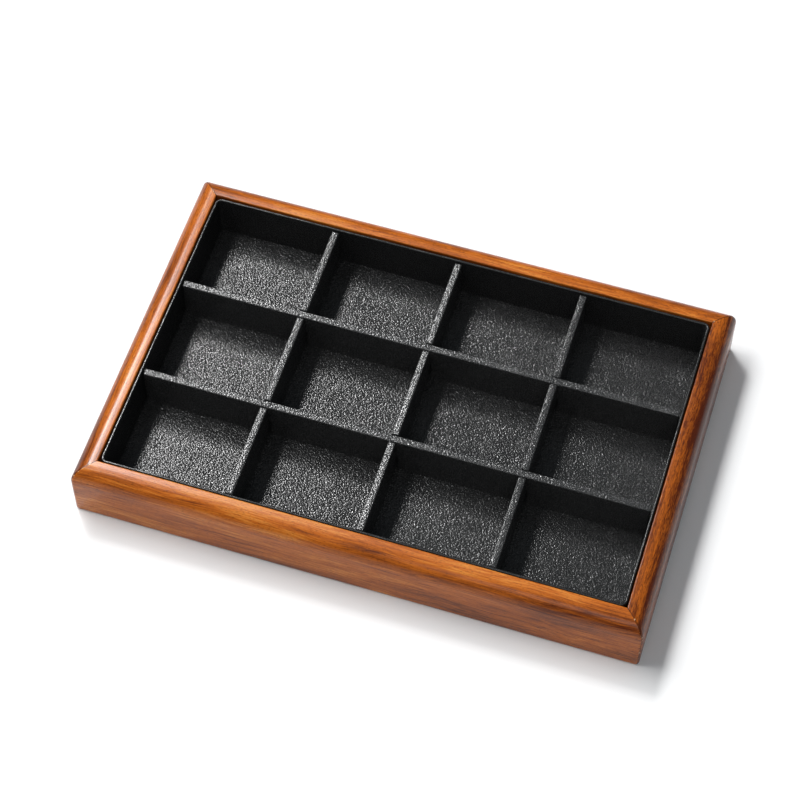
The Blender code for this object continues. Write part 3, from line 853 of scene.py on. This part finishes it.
class TRAY_OT_dividers(bpy.types.Operator):
    """Wrap the five dividers in leather"""
    bl_idname = "display_tray.dividers"
    bl_label = "Wrap Dividers"

    def execute(self, context):
        tray = context.scene.display_tray
        dividers = tray.dividers
        leather = embossed_leather("embossed leather, dividers", tray.colours, sheen=0.20, glaze=1.82)
        boards = [("long", number, LONG_WRAPS, COLUMNS, (0, y)) for number, y in enumerate(ROWS, 1)]
        boards += [("cross", number, CROSS_WRAPS, ROWS, (x, 0)) for number, x in enumerate(COLUMNS, 1)]
        # Slopes of the tops: the long ones dip to the front, and the middle cross one to the left
        leans = (-0.03, -0.05, 0.00, 0.07, -0.01)
        for seed, (kind, number, wraps, slots, (x, y)) in enumerate(boards):
            is_cross = kind == "cross"
            low, high = wraps[0]
            end = (high.y - low.y if is_cross else high.x - low.x) / 2
            bm = hollow_wrap(dividers, end, slots, is_cross, leather)
            slice_across(bm, 0, -end, end, dividers.pitch)
            wrap_by_hand(bm, dividers, 2.3 * seed + 0.6, leans[seed])
            turn = math.radians(90 if is_cross else 0)
            bm.transform(Matrix.Translation((x, y, 0.0)) @ Matrix.Rotation(turn, 4, "Z"))
            name = f"{kind}_divider_{number}"
            fit(place_bmesh(f"{name}_leather", bm, leather), "insert", f"{name}_wrap")
        return {"FINISHED"}


class TRAY_OT_boards(bpy.types.Operator):
    """Finish the boards, cards, base panel and felt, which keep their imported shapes"""
    bl_idname = "display_tray.boards"
    bl_label = "Finish Boards and Base"

    def execute(self, context):
        colours = context.scene.display_tray.colours
        # Fibres 0.1 mm thick are drawn 0.5 to 0.8 mm coarse so that they show
        for ending, finish, base, speck, fleck, rough, depth, fuzz in (
                ("_card", "pressed black card", colours.card, 0x2B2B2D, 0.0006, 0.80, 0.00003, 0.0),
                ("_board", "recycled grey board", colours.grey_board, 0x57524A, 0.0007, 0.88, 0.00005, 0.0),
                ("_panel", "medium-density fibreboard", colours.fibreboard, 0x6B4D2E, 0.0005, 0.72, 0.00004,
                 0.0),
                ("_felt", "pressed wool felt", colours.felt, 0x303236, 0.0008, 0.97, 0.00025, 0.35)):
            sheet = pressed_sheet(finish, base, linear(speck), fleck, rough, depth, fuzz)
            for name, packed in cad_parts.items():
                if name.endswith(ending):
                    for slot in packed.material_slots:
                        slot.material = sheet
        return {"FINISHED"}


# Stage

class TRAY_OT_stage(bpy.types.Operator):
    """Set out the table, the softboxes, the pale room and the camera"""
    bl_idname = "display_tray.stage"
    bl_label = "Set Stage"

    def execute(self, context):
        scene = context.scene
        tray = scene.display_tray
        # The table lies 0.1 mm low, so that its face and the rails' soles do not share a plane
        reach = 4.0
        level = -0.0001
        bm = bmesh.new()
        corners = ((-reach, -reach), (reach, -reach), (reach, reach), (-reach, reach))
        bm.faces.new([bm.verts.new((x, y, level)) for x, y in corners])
        table = place_bmesh("table_top", bm, matte_table("sprayed table top", tray.colours.table))

        # All hang level 3 m up, which lights the table evenly and gives the photograph's soft shadows
        for name, place, width, depth, watts in (
                ("key_softbox", (-1.74, 0.35, 3.0), 1.40, 2.10, tray.stage.key_power),
                ("back_softbox", (-1.40, 1.60, 3.0), 0.60, 0.80, tray.stage.back_power),
                ("front_softbox", (0.90, -2.70, 3.0), 2.60, 2.40, tray.stage.front_power)):
            softbox = bpy.data.lights.new(name, "AREA")
            softbox.shape = "RECTANGLE"
            softbox.size = width
            softbox.size_y = depth
            softbox.energy = watts
            add_object(name, softbox).location = place

        # A pale room whose light comes from the ceiling and fades towards the horizon
        room = bpy.data.worlds.new("pale_room")
        room.use_nodes = True
        tree = room.node_tree
        tree.nodes.clear()
        around = add_node(tree, "ShaderNodeTexCoord")
        aim = add_node(tree, "ShaderNodeSeparateXYZ", {0: around.outputs["Generated"]})
        fade = add_node(tree, "ShaderNodeMapRange", {"Value": aim.outputs[2], "To Min": 0.5})
        strength = add_node(tree, "ShaderNodeMath", {0: fade, 1: tray.stage.room_light}, operation="MULTIPLY")
        ceiling = add_node(tree, "ShaderNodeBackground", {"Color": linear(0xEAF6FF), "Strength": strength})
        backdrop = add_node(tree, "ShaderNodeBackground", {"Color": linear(0xF4F4F4)})
        ray = add_node(tree, "ShaderNodeLightPath")
        seen = add_node(tree, "ShaderNodeMixShader", {0: ray.outputs["Is Camera Ray"], 1: ceiling,
            2: backdrop})
        add_node(tree, "ShaderNodeOutputWorld", {"Surface": seen})
        scene.world = room
        # Plain colours, with no film curve, as in the product photograph
        scene.view_settings.view_transform = "Standard"

        # Fitted to the tray's straight edges in the photograph
        camera = bpy.data.cameras.new("camera")
        camera.sensor_width = 36.0
        camera.lens = 109.375
        camera.clip_start = 0.02
        camera.clip_end = 20.0
        heading, tilt, roll = (math.radians(angle) for angle in (17.295, 32.615, 0.263))
        view = Matrix.Translation((0.15762, -0.52101, 0.87102))
        for angle, axis in ((heading, "Z"), (tilt, "X"), (roll, "Z")):
            view @= Matrix.Rotation(angle, 4, axis)
        scene.camera = add_object("camera", camera)
        scene.camera.matrix_world = view
        return {"FINISHED"}


class TRAY_PT_panel(bpy.types.Panel):
    """Lists the steps that build the tray, with the values a user would change"""
    bl_idname = "TRAY_PT_panel"
    bl_label = "Display Tray"
    bl_space_type = "VIEW_3D"
    bl_region_type = "UI"
    bl_category = "Display Tray"

    def draw(self, context):
        tray = context.scene.display_tray
        groups = (tray.rails, None, tray.liner, None, tray.dividers, tray.colours, tray.stage)
        for operator, settings in zip(OPERATORS, groups):
            column = self.layout.column(align=True)
            column.operator(operator.bl_idname)
            if settings:
                for name in settings.__annotations__:
                    column.prop(settings, name)


OPERATORS = (TRAY_OT_rails, TRAY_OT_pins, TRAY_OT_liner, TRAY_OT_floor, TRAY_OT_dividers, TRAY_OT_boards,
    TRAY_OT_stage)
CLASSES = (RailSizes, LinerSizes, DividerSizes, FinishColours, StageSettings, TraySettings, *OPERATORS,
    TRAY_PT_panel)


def register():
    """Registers the classes and hangs the settings on the scene."""
    for cls in CLASSES:
        bpy.utils.register_class(cls)
    bpy.types.Scene.display_tray = bpy.props.PointerProperty(type=TraySettings)


def unregister():
    """Takes the settings off the scene and unregisters the classes."""
    del bpy.types.Scene.display_tray
    for cls in reversed(CLASSES):
        bpy.utils.unregister_class(cls)


def main():
    """Builds the tray and its stage in order."""
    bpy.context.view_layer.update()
    register()
    build = bpy.ops.display_tray
    for operator in (build.rails, build.pins, build.liner, build.floor, build.dividers, build.boards,
                     build.stage):
        operator()


if __name__ == "__main__":
    main()
